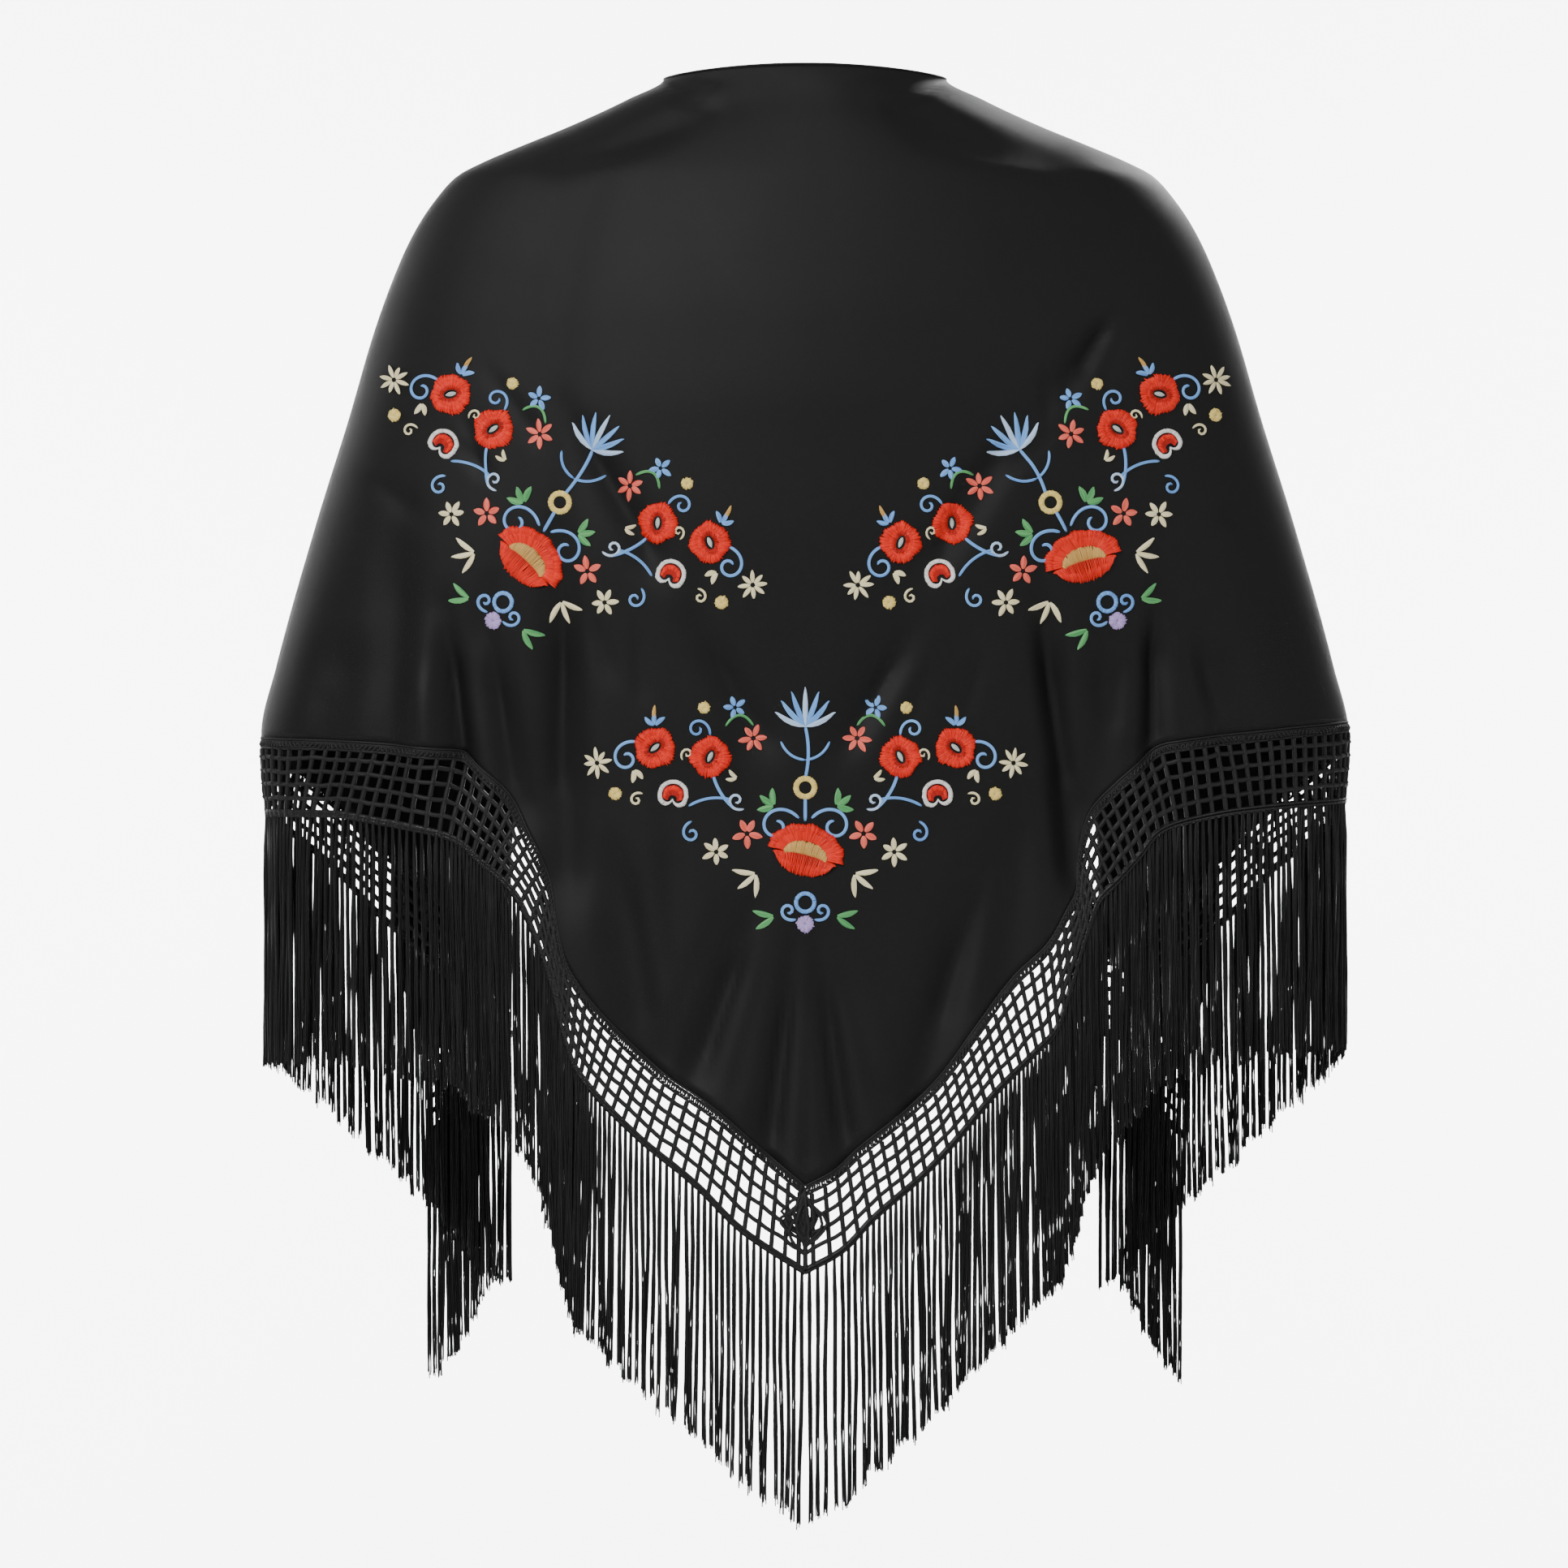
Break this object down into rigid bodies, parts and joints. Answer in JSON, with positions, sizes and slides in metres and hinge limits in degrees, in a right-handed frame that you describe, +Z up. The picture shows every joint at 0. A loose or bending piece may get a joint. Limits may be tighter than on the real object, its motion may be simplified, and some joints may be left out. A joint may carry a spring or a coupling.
{
  "type": "flamenco shawl",
  "caption": "Triangular black cloth shawl as worn round the shoulders, with braid, knotted net and long fringe along its two short edges.",
  "frame": {"origin": "centre of the base of the wearer's neck, where the shawl lies round it", "axes": "+Z up; +X to the wearer's right; +Y forwards, so the back of the shawl faces -Y"},
  "size_m": [0.7224, 0.246, 0.9571],
  "materials": {
    "black_cloth": "soft sheen",
    "black_braid": "matt",
    "black_net": "matt",
    "black_fringe": "silky"
  },
  "bodies": {
    "root": {"cloth_panel": "black_cloth", "braid_left": "black_braid", "braid_right": "black_braid", "net_left": "black_net", "net_right": "black_net", "fringe_back_left": "black_fringe", "fringe_front_left": "black_fringe", "fringe_back_right": "black_fringe", "fringe_front_right": "black_fringe"}
  },
  "joints": []
}
